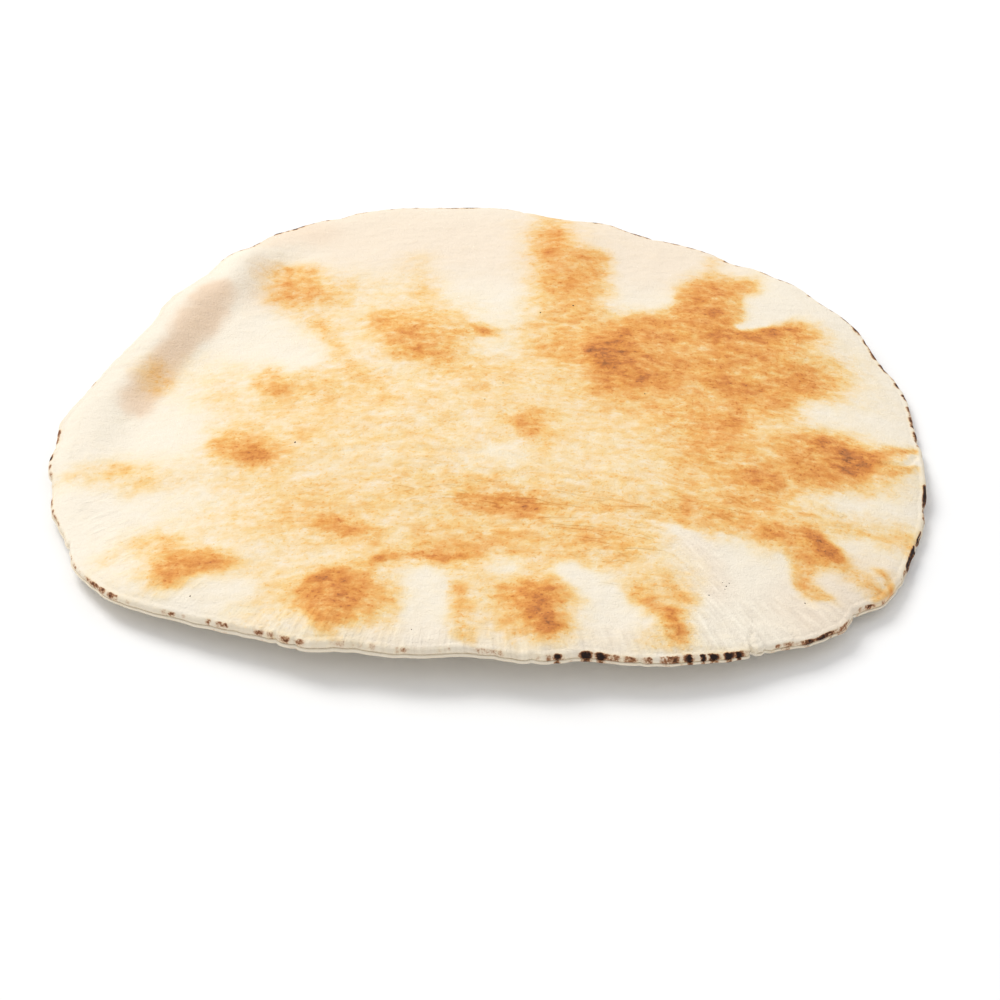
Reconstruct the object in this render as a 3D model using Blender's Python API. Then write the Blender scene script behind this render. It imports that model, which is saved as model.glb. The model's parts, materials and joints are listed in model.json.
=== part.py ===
"""Pita bread: one large round pocket loaf, lying with its browned crust up.

Metres, +Z up.  The origin is at the middle of the loaf's box, on the surface
that it lies on, and its front faces -Y.  A loaf is one solid: a low cushion of
uneven outline between an upper and a lower crust that meet in a thin crimped
rim.  The rim is lifted at the front and the back, droops at the left and the
right, and curls up in a lip at the back left.  The upper crust has a long
crease and low blisters, and the lower one is flat where it rests.
"""
from math import atan2, cos, degrees, exp, hypot, pi, radians, sin

import bmesh
import bpy

# ---------------------------------------------------------------- plan outline
MEAN_RADIUS = 0.1416
# The outline's waves: how many go round, how far they reach out, and the
# direction in degrees in which the first of them peaks.
OUTLINE_WAVES = (
    (1, 0.0068, -61),
    (2, 0.0014, -30),
    (3, 0.0063, -29),
    (4, 0.0053, 31),
    (5, 0.0014, 33),
    (6, 0.0006, 7),
    (17, 0.0007, 4),
    (23, 0.0006, 9),
)
# Nicks in the rim: direction, half width in degrees, depth.
NICKS = (
    (-59, 1.6, 0.0035),
    (-44, 1.6, 0.0028),
    (67, 1.5, 0.0020),
    (130, 1.6, 0.0018),
)

# ---------------------------------------------------------------- body
RIM_THICKNESS = 0.0034
POCKET_THICKNESS = 0.0080
POCKET_REACH = 0.030           # how soon the pocket comes to its full height
# The crimp gapes at the front left: direction, half width, what it adds.
OPEN_CRIMP = (-112, 26, 0.0016)
SEAM_HEIGHT = 0.45             # share of the rim's thickness below the seam

# ---------------------------------------------------------------- lift
DRAPE_HEIGHT = 0.0090          # front and back stand this much above the sides
DRAPE_HALF_WIDTH = 0.1425
# Where the rim also curls up: direction, half width in degrees, height.
CURLS = (
    (150, 26, 0.0095),
    (181, 24, 0.0034),
    (-14, 6, 0.0024),
    (34, 16, 0.0020),
    (-138, 12, 0.0012),
)
CREST_WIDTH = 0.0085           # a curl's rounded top, in from the edge
CURL_REACH = 0.0250            # where a curl has run out
# The lower crust comes down from the lifted rim to the flat it rests on.
SETTLE_START = 0.004
SETTLE_END = 0.052

# ---------------------------------------------------------------- crease
CREASE_HEIGHT = 0.0030
CREASE_LEFT_Y = -0.034
CREASE_RIGHT_Y = -0.075
CREASE_BEND_X = 0.030          # where it comes forward fastest
CREASE_BEND_WIDTH = 0.090
CREASE_MIDDLE_X = 0.010
CREASE_HALF_LENGTH = 0.085
CREASE_BACK = 0.055            # how far it fades behind and in front
CREASE_FRONT = 0.030

# ---------------------------------------------------------------- swellings
# Soft folds and blisters of the upper crust: x and y of the middle, half
# length, half width, direction of the length in degrees, height.
SWELLINGS = (
    (-0.0870, 0.0760, 0.034, 0.0075, 90, 0.0030),
    (-0.0650, 0.0780, 0.020, 0.0160, 60, 0.0016),
    (-0.0250, 0.0370, 0.022, 0.0150, 10, 0.0016),
    (0.0280, 0.0900, 0.030, 0.0140, 80, 0.0014),
    (0.0430, 0.0230, 0.024, 0.0180, 0, 0.0016),
    (0.0780, 0.0600, 0.024, 0.0170, 100, 0.0016),
    (0.1010, 0.0350, 0.022, 0.0120, 20, 0.0012),
    (-0.0700, 0.0090, 0.014, 0.0100, 10, 0.0011),
    (-0.0800, -0.0310, 0.014, 0.0110, 0, 0.0012),
    (-0.0940, -0.0940, 0.026, 0.0150, 25, 0.0016),
    (-0.0450, -0.1130, 0.022, 0.0140, 80, 0.0019),
    (-0.0060, -0.1210, 0.018, 0.0070, 85, 0.0010),
    (0.0180, -0.1200, 0.022, 0.0125, 95, 0.0019),
    (0.0560, -0.1230, 0.028, 0.0100, 115, 0.0016),
    (0.1120, -0.0310, 0.026, 0.0160, -15, 0.0016),
    (0.1040, -0.0880, 0.028, 0.0130, -50, 0.0015),
    (-0.1160, -0.0390, 0.018, 0.0110, 5, 0.0010),
)
SWELLING_EDGE = 0.006          # swellings fade out this close to the rim

# ---------------------------------------------------------------- mesh
NET_CELLS = 28                 # cells across the square net in the middle
NET_REACH = 0.66               # the net's share of the way to the rim
ROUND_REACH = 0.80             # from here out the loops are round
CORNER_PULL = 0.12             # draws in the corners of the square loops
RING_INSETS = (0.030, 0.0235, 0.0180, 0.0130, 0.0085, 0.0045, 0.0014)

CRUST_COLOUR = (0.83, 0.62, 0.38, 1.0)
CRUST_ROUGHNESS = 0.85


def ease(value):
    """Rise smoothly from 0 to 1 while value does."""
    t = min(max(value, 0.0), 1.0)
    return t * t * (3.0 - 2.0 * t)


def hump(angle, middle, half_width):
    """A smooth hump over directions in degrees, 1 at its middle."""
    away = (angle - middle + 180.0) % 360.0 - 180.0
    return exp(-((away / half_width) ** 2))


def rim_radius(angle):
    """How far the rim is from the middle in a direction in degrees."""
    radius = MEAN_RADIUS
    for count, depth, peak in OUTLINE_WAVES:
        radius += depth * cos(radians(count * (angle - peak)))
    for direction, half_width, depth in NICKS:
        radius -= depth * hump(angle, direction, half_width)
    return radius


def thickness(angle, inset):
    """The loaf's thickness: a crimped rim, rising to the air pocket."""
    direction, half_width, gape = OPEN_CRIMP
    rim = RIM_THICKNESS + gape * hump(angle, direction, half_width)
    return rim + (POCKET_THICKNESS - rim) * (1.0 - exp(-inset / POCKET_REACH))


def lift(x, angle, inset):
    """How far the loaf is drawn up: the broad drape, and the rim's curls."""
    drape = DRAPE_HEIGHT * max(0.0, 1.0 - (x / DRAPE_HALF_WIDTH) ** 2)
    curl = sum(height * hump(angle, middle, width) for middle, width, height in CURLS)
    return drape + curl * ease((CURL_REACH - inset) / (CURL_REACH - CREST_WIDTH))


def crease(x, y):
    """The long crease, with a short slope in front and a long one behind."""
    bend = ease((x - CREASE_BEND_X) / CREASE_BEND_WIDTH + 0.5)
    line = CREASE_LEFT_Y + (CREASE_RIGHT_Y - CREASE_LEFT_Y) * bend
    fade = CREASE_BACK if y > line else CREASE_FRONT
    along = exp(-((x - CREASE_MIDDLE_X) / CREASE_HALF_LENGTH) ** 4)
    return CREASE_HEIGHT * along * exp(-((y - line) / fade) ** 2)


def swellings(x, y):
    """The folds and blisters over a point of the plan."""
    total = 0.0
    for mid_x, mid_y, half_length, half_width, direction, height in SWELLINGS:
        turn = radians(direction)
        along = (x - mid_x) * cos(turn) + (y - mid_y) * sin(turn)
        across = (y - mid_y) * cos(turn) - (x - mid_x) * sin(turn)
        total += height * exp(-((along / half_length) ** 2) - (across / half_width) ** 2)
    return total


def upper_height(x, y):
    angle = degrees(atan2(y, x))
    inset = max(rim_radius(angle) - hypot(x, y), 0.0)
    relief = swellings(x, y) * ease(inset / SWELLING_EDGE)
    return thickness(angle, inset) + lift(x, angle, inset) + crease(x, y) + relief


def lower_height(x, y):
    angle = degrees(atan2(y, x))
    inset = max(rim_radius(angle) - hypot(x, y), 0.0)
    settled = ease((inset - SETTLE_START) / (SETTLE_END - SETTLE_START))
    return lift(x, angle, inset) * (1.0 - settled)


def seam_height(x, y):
    low = lower_height(x, y)
    return low + SEAM_HEIGHT * (upper_height(x, y) - low)


def net_point(u, v, reach):
    """Plan place of a point of the net.

    (u, v) gives the side and the share along it on a square loop.  The loop
    is reach of the way to the rim, and loops turn from square to round.
    """
    half = max(abs(u), abs(v))
    if half == 0.0:
        return 0.0, 0.0
    if abs(u) >= abs(v):
        angle = (pi / 4.0) * v / u + (0.0 if u > 0.0 else pi)
    else:
        angle = pi / 2.0 - (pi / 4.0) * u / v + (0.0 if v > 0.0 else pi)
    roundness = ease(reach / ROUND_REACH)
    along_x = u / half * (1.0 - roundness) + cos(angle) * roundness
    along_y = v / half * (1.0 - roundness) + sin(angle) * roundness
    pull = 1.0 - CORNER_PULL * (1.0 - roundness)
    radius = rim_radius(degrees(atan2(along_y, along_x))) * reach * pull
    return along_x * radius, along_y * radius


def new_verts(geometry):
    return [item for item in geometry if isinstance(item, bmesh.types.BMVert)]


def new_edges(geometry):
    return [item for item in geometry if isinstance(item, bmesh.types.BMEdge)]


def add_flat_net(bm):
    """A flat net out to just short of the rim; returns its edge loop."""
    made = bmesh.ops.create_grid(bm, x_segments=NET_CELLS, y_segments=NET_CELLS, size=1.0)
    place = {}
    for vert in made["verts"]:
        u, v = vert.co.x, vert.co.y
        place[vert] = (u, v)
        vert.co.x, vert.co.y = net_point(u, v, NET_REACH * max(abs(u), abs(v)))
    loop = [edge for edge in bm.edges if edge.is_boundary]
    for inset in RING_INSETS:
        grown = bmesh.ops.extrude_edge_only(bm, edges=loop)["geom"]
        outer = {}
        for vert in new_verts(grown):
            near = [edge.other_vert(vert) for edge in vert.link_edges]
            outer[vert] = next(place[other] for other in near if other in place)
        for vert, (u, v) in outer.items():
            vert.co.x, vert.co.y = net_point(u, v, 1.0 - inset / MEAN_RADIUS)
        place.update(outer)
        loop = [edge for edge in new_edges(grown) if edge.is_boundary]
    return loop


def make_loaf():
    """The closed loaf, with its origin at the bottom centre of its box."""
    bm = bmesh.new()
    upper_loop = add_flat_net(bm)
    upper = bm.verts[:]
    copy = bmesh.ops.duplicate(bm, geom=bm.verts[:] + bm.edges[:] + bm.faces[:])["geom"]
    lower_loop = [edge for edge in new_edges(copy) if edge.is_boundary]
    for vert in upper:
        vert.co.z = upper_height(vert.co.x, vert.co.y)
    for vert in new_verts(copy):
        vert.co.z = lower_height(vert.co.x, vert.co.y)

    # The seam runs round the outside, where the two crusts are crimped.
    grown = bmesh.ops.extrude_edge_only(bm, edges=upper_loop)["geom"]
    for vert in new_verts(grown):
        angle = atan2(vert.co.y, vert.co.x)
        radius = rim_radius(degrees(angle))
        vert.co.x, vert.co.y = radius * cos(angle), radius * sin(angle)
        vert.co.z = seam_height(vert.co.x, vert.co.y)
    seam = [edge for edge in new_edges(grown) if edge.is_boundary]
    bmesh.ops.bridge_loops(bm, edges=seam + lower_loop)
    bmesh.ops.recalc_face_normals(bm, faces=bm.faces[:])

    middle = [(min(v.co[i] for v in bm.verts) + max(v.co[i] for v in bm.verts)) / 2.0 for i in (0, 1)]
    bmesh.ops.translate(bm, verts=bm.verts[:], vec=(-middle[0], -middle[1], 0.0))
    mesh = bpy.data.meshes.new("pita")
    bm.to_mesh(mesh)
    bm.free()
    mesh.shade_smooth()
    return mesh


def crust_material():
    material = bpy.data.materials.new("crust")
    material.use_nodes = True
    shader = material.node_tree.nodes["Principled BSDF"]
    shader.inputs["Base Color"].default_value = CRUST_COLOUR
    shader.inputs["Roughness"].default_value = CRUST_ROUGHNESS
    shader.inputs["Metallic"].default_value = 0.0
    return material


for old in list(bpy.data.objects):
    bpy.data.objects.remove(old)

pita = bpy.data.objects.new("pita", make_loaf())
pita.data.materials.append(crust_material())
bpy.context.collection.objects.link(pita)
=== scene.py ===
# %% [markdown]
# # A large round pita
#
# This is one big, thin pocket loaf, the size of a dinner plate. It is baked so
# hot that steam blows it up like a pillow; afterwards it sinks back to two
# crusts that are joined round the rim. So it is made here as two pieces, a
# top crust and a bottom crust, each a closed body of its own. What gives such
# a loaf its look is the toast: soft golden patches with brown middles where
# the dough blistered, floury pale skin between them, and a crimped rim that
# has caught fire in places.
#
# The frame comes first. It is the plain solid that the looks are built round.
# Nothing here moves or changes it: its outline and its heights are only read.

import json
from math import cos, radians, sin

import bpy
import numpy as np
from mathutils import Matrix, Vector, noise

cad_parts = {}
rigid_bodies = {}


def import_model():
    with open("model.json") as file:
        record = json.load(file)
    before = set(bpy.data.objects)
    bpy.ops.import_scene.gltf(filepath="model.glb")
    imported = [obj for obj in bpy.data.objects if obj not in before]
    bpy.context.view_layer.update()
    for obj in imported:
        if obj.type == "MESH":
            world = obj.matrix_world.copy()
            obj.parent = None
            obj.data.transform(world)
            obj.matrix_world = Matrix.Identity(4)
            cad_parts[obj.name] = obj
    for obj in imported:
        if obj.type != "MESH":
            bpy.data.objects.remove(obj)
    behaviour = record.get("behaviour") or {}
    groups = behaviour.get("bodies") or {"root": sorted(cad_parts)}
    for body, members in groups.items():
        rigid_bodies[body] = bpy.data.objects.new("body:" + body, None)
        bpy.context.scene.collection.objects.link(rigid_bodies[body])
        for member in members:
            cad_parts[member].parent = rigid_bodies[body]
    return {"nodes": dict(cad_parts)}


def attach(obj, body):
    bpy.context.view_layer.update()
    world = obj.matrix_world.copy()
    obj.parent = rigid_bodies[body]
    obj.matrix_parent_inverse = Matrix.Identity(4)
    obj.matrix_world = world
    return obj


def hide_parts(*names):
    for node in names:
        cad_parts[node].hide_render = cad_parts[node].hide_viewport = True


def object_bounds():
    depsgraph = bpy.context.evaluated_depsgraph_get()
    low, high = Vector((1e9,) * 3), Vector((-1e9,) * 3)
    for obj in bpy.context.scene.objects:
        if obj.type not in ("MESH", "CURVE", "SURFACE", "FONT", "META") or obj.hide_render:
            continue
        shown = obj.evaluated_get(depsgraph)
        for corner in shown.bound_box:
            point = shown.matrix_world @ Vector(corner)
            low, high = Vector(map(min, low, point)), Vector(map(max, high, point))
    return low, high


for old in list(bpy.data.objects):
    bpy.data.objects.remove(old)
noise.seed_set(5)  # so that every run makes the same loaf
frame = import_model()
cad_box = [list(corner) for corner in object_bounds()]
MM = 0.001
print("frame box in millimetres:", [[round(c / MM, 1) for c in corner] for corner in cad_box])

# %% [markdown]
# ## Camera, floor and light
#
# A loaf on a table is looked down on at about a third of a right angle. The
# camera has a long lens, so the far rim is hardly smaller than the near one.
# The floor is plain and nearly white. The light is that of a bright white
# tent: most of it comes evenly from all round, and one broad lamp, behind the
# loaf and to its left, gives the relief and a soft shadow at the right.

# %% Camera
LOOK_DOWN = radians(34.0)
CAMERA_DISTANCE = 0.88
LENS = 100.0
AIM_RIGHT = 0.004  # the view's middle, from the middle of the box
AIM_FRONT = 0.0536

scene = bpy.context.scene
low, high = (Vector(corner) for corner in cad_box)
middle = (low + high) / 2.0
aim = middle + Vector((AIM_RIGHT, -AIM_FRONT, 0.0))
lens = bpy.data.cameras.new("camera")
lens.lens = LENS
camera = bpy.data.objects.new("camera", lens)
camera.location = aim + CAMERA_DISTANCE * Vector((0.0, -cos(LOOK_DOWN), sin(LOOK_DOWN)))
camera.rotation_euler = (radians(90.0) - LOOK_DOWN, 0.0, 0.0)
scene.collection.objects.link(camera)
scene.camera = camera
print("camera at", [round(c, 3) for c in camera.location])

# %% Floor and light
FLOOR_SIZE = 8.0
FLOOR_DROP = 0.0002  # keeps the floor just clear of the loaf
SKY_STRENGTH = 0.71
LAMP_POWER = 99.0
LAMP_SIZE = 2.2
LAMP_PLACE = Vector((-1.9, 2.0, 3.2))

scene.view_settings.view_transform = "Standard"
scene.view_settings.look = "None"

bpy.ops.object.select_all(action="DESELECT")
bpy.ops.mesh.primitive_plane_add(size=FLOOR_SIZE, location=(0.0, 0.0, low.z - FLOOR_DROP))
floor = bpy.context.object
floor.name = "floor"

sky = bpy.data.worlds.new("sky")
sky.use_nodes = True
sky.node_tree.nodes["Background"].inputs["Color"].default_value = (0.985, 0.99, 1.0, 1.0)
sky.node_tree.nodes["Background"].inputs["Strength"].default_value = SKY_STRENGTH
scene.world = sky

lamp = bpy.data.lights.new("window", "AREA")
lamp.size = LAMP_SIZE
lamp.energy = LAMP_POWER
lamp.color = (1.0, 0.985, 0.96)
window = bpy.data.objects.new("window", lamp)
window.location = middle + LAMP_PLACE
window.rotation_euler = (-LAMP_PLACE).to_track_quat("-Z", "Y").to_euler()
scene.collection.objects.link(window)
print("lamp", round(LAMP_PLACE.length, 2), "m away")

# %% [markdown]
# ## A guide to measure
#
# The frame's node is faceted. A copy of it is merged, its triangles are
# joined to four-sided faces again, and it is subdivided, which gives a smooth
# surface to lay the crusts on. Before that the seam is read from the copy: it
# is the loop of edges between a face that looks up and one that looks down.

# %% Guide
def only(piece):
    """Select one object and nothing else."""
    bpy.ops.object.select_all(action="DESELECT")
    piece.select_set(True)
    bpy.context.view_layer.objects.active = piece


def finish_modifier(piece, kind, **settings):
    """Add a modifier as from the menu, set it and apply it."""
    only(piece)
    bpy.ops.object.modifier_add(type=kind)
    modifier = piece.modifiers[-1]
    for name, value in settings.items():
        setattr(modifier, name, value)
    bpy.ops.object.modifier_apply(modifier=modifier.name)


only(frame["nodes"]["pita"])
bpy.ops.object.duplicate()
guide = bpy.context.object
guide.name = "guide"
bpy.ops.object.mode_set(mode="EDIT")
bpy.ops.mesh.select_all(action="SELECT")
bpy.ops.mesh.remove_doubles(threshold=0.00001)
bpy.ops.mesh.tris_convert_to_quads()
bpy.ops.object.mode_set(mode="OBJECT")

faces_of_edge = {}
for face in guide.data.polygons:
    for edge in face.edge_keys:
        faces_of_edge.setdefault(edge, []).append(face.normal.z > 0.0)
seam = {end for edge, up in faces_of_edge.items() if True in up and False in up for end in edge}
seam = np.array([guide.data.vertices[i].co for i in sorted(seam)])
print(len(seam), "points in the seam,", len(guide.data.polygons), "faces in the guide")
finish_modifier(guide, "SUBSURF", levels=2, render_levels=2)

# %% [markdown]
# The seam gives the outline: how far out and how high the rim is in each
# direction. The readings are spread evenly round the turn, and waves too
# short for the frame's points to tell are faded away, so that no corner of
# the frame shows in the rim.

# %% Outline
ROUND = 1440  # readings round the rim
SHORTEST_WAVE = 52.0  # waves round the rim that still come through
DENT_FADE = 8  # how steeply a dent fades towards the middle
ALL_ROUND = np.arange(ROUND) * 360.0 / ROUND

# direction and half width in degrees, depth in mm; a negative one is a bulge
DENTS = (
    (-164, 3.2, 2.8), (-170, 3.0, -1.2), (-177.5, 4.5, -2.6), (173, 5.0, -0.6), (-136.5, 5.0, -3.4),
    (-141.5, 4.0, -1.8), (-146, 3.0, -0.8), (-123.5, 4.8, 0.9), (-117.5, 3.0, 0.9), (-111.5, 4.0, -2.4),
    (-78, 4.0, 2.2), (-66, 4.0, 1.4), (-55, 2.2, 1.6), (-47.5, 1.6, -1.4), (-43, 1.5, 1.2),
    (-36, 5.0, 0.8), (-20, 3.0, 1.1), (21, 6.0, 0.9), (37, 2.5, -0.8), (42, 2.0, 1.2), (48.5, 3.0, 2.4),
    (63, 3.0, 1.0), (71, 4.0, -0.8), (113, 1.5, 1.4), (124, 2.0, -1.3), (130, 2.0, 1.2),
)


def away(degrees, direction):
    """How far a direction is from another one, from -180 to 180."""
    return (degrees - direction + 180.0) % 360.0 - 180.0


def around(readings):
    """Spread readings at the seam's points evenly over the turn, and smooth them."""
    at = np.degrees(np.arctan2(seam[:, 1], seam[:, 0]))
    even = np.interp(ALL_ROUND, at, readings, period=360.0)
    waves = np.fft.rfft(even)
    waves *= np.exp(-((np.arange(len(waves)) / SHORTEST_WAVE) ** 4))
    return np.fft.irfft(waves, ROUND)


def look_up(table, degrees):
    """Read a table that goes once round the rim."""
    return np.interp(degrees, ALL_ROUND, table, period=360.0)


RIM_RADIUS = around(np.hypot(seam[:, 0], seam[:, 1]))
RIM_HEIGHT = around(seam[:, 2])
bent = RIM_RADIUS.copy()
for direction, half_width, depth in DENTS:
    bent -= depth * MM * np.exp(-(away(ALL_ROUND, direction) / half_width) ** 2)
for vertex in guide.data.vertices:
    x, y, z = vertex.co
    turn = np.degrees(np.arctan2(y, x))
    radius = look_up(RIM_RADIUS, turn)
    share = min(np.hypot(x, y) / radius, 1.0) ** DENT_FADE
    vertex.co.xy *= 1.0 + share * (look_up(bent, turn) / radius - 1.0)
RIM_RADIUS = bent
for what, table in (("radius", RIM_RADIUS), ("height", RIM_HEIGHT)):
    print("rim", what, (table.min() / MM).round(1), "to", (table.max() / MM).round(1), "mm")

# %% [markdown]
# ## A fine round net
#
# Both crusts start as the same flat disc. A circle is filled with a grid,
# whose cells stay nearly square all over, unlike the slices of a fan, and the
# grid is relaxed so that its four corners open up. Then the edge is made
# twice as fine, because the rim has the smallest shapes, and is extruded
# outward again and again. Each new row becomes one row of the rim's rounded
# profile. So far a row is known only by how far out it lies.

# %% Net
NET_ROUND = 920  # edges round the net, a quarter of them to a side
RELAX_TURNS = 60
ROW_STEP = 0.01
NEARLY_ONE = 1.0 - 1e-5  # inside the unit circle, and not on it


def edit(piece):
    only(piece)
    bpy.ops.object.mode_set(mode="EDIT")
    bpy.ops.mesh.select_mode(type="VERT")


def places(piece):
    """Every vertex's place as an array with a row for each."""
    flat = np.empty(len(piece.data.vertices) * 3)
    piece.data.vertices.foreach_get("co", flat)
    return flat.reshape(-1, 3)


def put(piece, where):
    piece.data.vertices.foreach_set("co", np.ascontiguousarray(where).ravel())
    piece.data.update()


def choose(piece, chosen):
    """Select vertices in object mode by a list of True and False."""
    mesh = piece.data
    mesh.polygons.foreach_set("select", np.zeros(len(mesh.polygons), bool))
    mesh.edges.foreach_set("select", np.zeros(len(mesh.edges), bool))
    mesh.vertices.foreach_set("select", np.ascontiguousarray(chosen))


def make_net(name, rows):
    """A flat disc one unit in radius, with some more rows round it."""
    bpy.ops.object.select_all(action="DESELECT")
    bpy.ops.mesh.primitive_circle_add(vertices=NET_ROUND, radius=1.0)
    net = bpy.context.object
    net.name = net.data.name = name
    edit(net)
    bpy.ops.mesh.select_all(action="SELECT")
    bpy.ops.mesh.fill_grid(span=NET_ROUND // 4, offset=0)
    bpy.ops.object.mode_set(mode="OBJECT")
    inside = np.hypot(*places(net)[:, :2].T) < NEARLY_ONE
    choose(net, inside)
    edit(net)
    bpy.ops.mesh.vertices_smooth(factor=0.5, repeat=RELAX_TURNS)
    bpy.ops.object.mode_set(mode="OBJECT")
    choose(net, ~inside)
    edit(net)
    bpy.ops.mesh.subdivide(number_cuts=1)
    bpy.ops.transform.tosphere(value=1.0)
    for row in range(rows):
        bpy.ops.mesh.extrude_edges_move()
        grow = (1.0 + ROW_STEP * (row + 1)) / (1.0 + ROW_STEP * row)
        bpy.ops.transform.resize(value=(grow, grow, 1.0), center_override=(0.0, 0.0, 0.0))
    bpy.ops.object.mode_set(mode="OBJECT")
    print(name, "net:", len(net.data.vertices), "vertices")
    return net


# %% [markdown]
# ## The rim's own shapes
#
# The rim is a row of small torn teeth, a few millimetres apart, on slow
# scallops. Here and there it is nicked or cracked. All of this is a push in
# or out that is strongest at the edge and has gone a few millimetres in.
# The little waves come from smooth noise along a circle, so they meet
# themselves after one turn.

# %% Teeth, scallops and nicks
RIM_BAND = 6.4 * MM  # how far in the edge's shapes reach
NICK_POINT = 1.4  # 1 is a pointed nick, 2 a round one

# depth, waves round the rim, and what is added to the seed
EDGE_WAVES = ((0.28 * MM, 215, 0.0), (0.24 * MM, 66, 7.0), (0.40 * MM, 24, 3.0))
# direction and half width in degrees, depth in mm
NICKS = (
    (-59.2, 0.28, 2.8), (-57.6, 0.35, 1.2), (-44.5, 0.7, 1.6), (-113.5, 0.6, 1.3), (-116.2, 0.45, 0.9),
    (-151, 0.55, 1.2), (-166, 0.6, 1.0), (-84.5, 0.4, 0.8), (-72, 0.35, 0.7), (62.5, 0.6, 1.5),
    (84.5, 0.5, 1.3), (124.5, 0.5, 1.0), (-3.5, 0.8, 1.0),
)


def ripple(degrees, count, seed):
    """Smooth noise from about -1 to 1, with this many waves round the rim."""
    size = count / (2.0 * np.pi)
    turns = np.radians(np.arange(ROUND * 4) * 90.0 / ROUND)
    table = [noise.noise((size * cos(t), size * sin(t), seed)) for t in turns]
    return 2.0 * np.interp(degrees, np.degrees(turns), table, period=360.0)


def ripples(degrees, waves, seed, level=0.0):
    """Ripples of several sizes, added to a level."""
    return sum((size * ripple(degrees, count, seed + more) for size, count, more in waves), level)


def edge_push(degrees, seed):
    """How far the edge is pushed in from the outline."""
    push = ripples(degrees, EDGE_WAVES, seed)
    for direction, half_width, depth in NICKS:
        push += depth * MM * np.exp(-np.abs(away(degrees, direction) / half_width) ** NICK_POINT)
    return push


# %% [markdown]
# ## Laying a crust on the guide
#
# Each row of the rim has an inset, how far in from the edge it is, and a
# rise, its share of the way from the seam to the shoulder of the rim. Rows
# with no rise, and the net itself, are laid on the guide with a Shrinkwrap
# that looks straight down, or straight up for the bottom crust.

# %% Rows of the rim
SHOULDER = 2.1  # where the rounding of the edge starts, in mm
LAID_INSETS = (5.6, 4.9, 4.2, 3.6, 3.0, 2.5, SHOULDER)
ROUND_INSETS = (1.7, 1.3, 1.0, 0.7, 0.45, 0.25, 0.1, 0.0)


def rim_rows(rounding, wall, proud):
    """Insets and rises of a crust's rim, from the net out and round the edge."""
    rows = [(inset, None) for inset in LAID_INSETS]
    for inset in ROUND_INSETS:
        bend = (1.0 - (1.0 - inset / SHOULDER) ** 2) ** 0.5
        rows.append((inset, 1.0 - rounding + rounding * bend))
    rows += wall
    return [((inset - proud * (inset < 1.0)) * MM, rise) for inset, rise in rows]


TOP_ROWS = rim_rows(0.55, [(0.0, 0.22), (0.10, 0.06), (0.55, 0.03), (1.6, 0.03)], 0.0)
BOTTOM_ROWS = rim_rows(0.60, [(0.0, 0.20), (0.08, 0.05), (0.50, 0.03), (1.6, 0.03)], 0.28)
print(len(TOP_ROWS), "rows in each rim")

# %% Lay a crust
START_HEIGHT = 0.1  # from where a net is laid on the guide
PUSH_FADE = 1.3  # how a push at the edge dies away inward


def mark_rows(net):
    """The direction of each vertex in degrees, its row (0 is the net) and its reach."""
    flat = places(net)
    reach = np.hypot(flat[:, 0], flat[:, 1])
    rows = np.maximum(np.round((reach - 1.0) / ROW_STEP), 0.0).astype(int)
    return np.degrees(np.arctan2(flat[:, 1], flat[:, 0])), rows, np.minimum(reach, 1.0)


def weigh(piece, group, weights):
    """Fill a vertex group from an array of weights."""
    made = piece.vertex_groups.new(name=group)
    for step in np.unique(np.round(weights, 2)):
        found = np.flatnonzero(np.round(weights, 2) == step)
        if step > 0.0:
            made.add(found.tolist(), float(step), "REPLACE")


def lay(net, rows, upward, seed):
    """Take a flat net to its plan and height on the guide."""
    degrees, row, reach = mark_rows(net)
    radius = look_up(RIM_RADIUS, degrees)
    inset = np.array([RIM_BAND] + [inset for inset, rise in rows])[row]
    push = edge_push(degrees, seed)
    inset = inset + push * np.clip(1.0 - inset / RIM_BAND, 0.0, 1.0) ** PUSH_FADE
    out = np.where(row == 0, reach * (radius - RIM_BAND), radius - inset)
    flat = np.column_stack([out * np.cos(np.radians(degrees)), out * np.sin(np.radians(degrees))])
    start = START_HEIGHT if upward else -START_HEIGHT
    put(net, np.column_stack([flat, np.full(len(flat), start)]))

    rise = np.array([1.0] + [1.0 if r is None else r for inset, r in rows])[row]
    laid = np.array([True] + [r is None for inset, r in rows])[row]
    weigh(net, "laid", laid.astype(float))
    finish_modifier(
        net, "SHRINKWRAP", target=guide, vertex_group="laid", wrap_method="PROJECT",
        use_project_z=True, use_positive_direction=not upward, use_negative_direction=upward,
    )
    where = places(net)
    shoulder = row == len(LAID_INSETS)
    order = np.argsort(degrees[shoulder])
    line = degrees[shoulder][order]
    height = np.interp(degrees, line, where[shoulder, 2][order], period=360.0)
    seam_height = look_up(RIM_HEIGHT, degrees)
    rounded = seam_height + rise * (height - seam_height)
    where[:, 2] = np.where(laid, where[:, 2], rounded)
    put(net, where)
    return degrees, row, inset, reach


top = make_net("top_crust", len(TOP_ROWS))
top_degrees, top_row, top_inset, top_reach = lay(top, TOP_ROWS, True, 1.0)
print("top crust height", (places(top)[:, 2].max() / MM).round(1), "mm")

# %% [markdown]
# ## Folds, furrows and wrinkles
#
# The guide has only the broad shape. The skin between is modelled here. A
# furrow is a line through a few points of the plan, cut with a soft profile:
# down in the middle and a little up at both sides, as dough folds. The small
# unevenness comes from Displace modifiers with cloud textures: broad swells,
# dimples, fine grain, and wrinkles that all run from left to right, which are
# clouds stretched by an empty that the texture is placed by. A vertex group
# fades them towards the rim, so that the two crusts still meet.

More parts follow.
